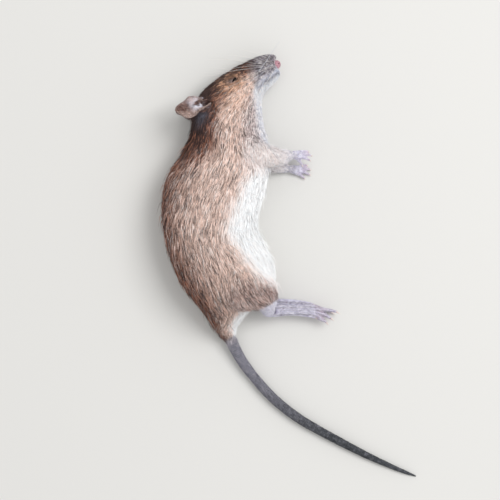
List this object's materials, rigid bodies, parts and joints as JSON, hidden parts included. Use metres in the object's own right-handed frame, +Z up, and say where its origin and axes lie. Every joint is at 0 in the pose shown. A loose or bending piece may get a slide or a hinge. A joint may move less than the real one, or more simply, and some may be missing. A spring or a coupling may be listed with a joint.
{
  "type": "field mouse",
  "caption": "Field mouse lying on its left side, back arched, legs and tail stretched out: a still, life-size display model.",
  "frame": {"origin": "on the floor, under the middle of the mouse's box", "axes": "+Z up out of the floor, +Y from the tail towards the head, +X from the back towards the belly; the mouse lies on its left side"},
  "size_m": [0.0774, 0.129, 0.0205],
  "materials": {
    "coat": "short soft fur, rusty brown above and white below",
    "skin": "thin pale skin under very short hairs",
    "tail": "finely ringed scaly skin with short hairs",
    "nose": "bare, slightly moist skin",
    "eye": "black and glossy",
    "claw": "smooth pale horn"
  },
  "bodies": {
    "root": {"head": "coat", "neck": "coat", "trunk": "coat", "foreleg_right": "coat", "foreleg_left": "coat", "hindleg_right": "coat", "hindleg_left": "coat", "ear_right": "skin", "ear_left": "skin", "forefoot_right": "skin", "forefoot_left": "skin", "hindfoot_right": "skin", "hindfoot_left": "skin", "tail_base": "tail", "tail_middle": "tail", "tail_tip": "tail", "nose": "nose", "eye_right": "eye", "eye_left": "eye"}
  },
  "joints": []
}
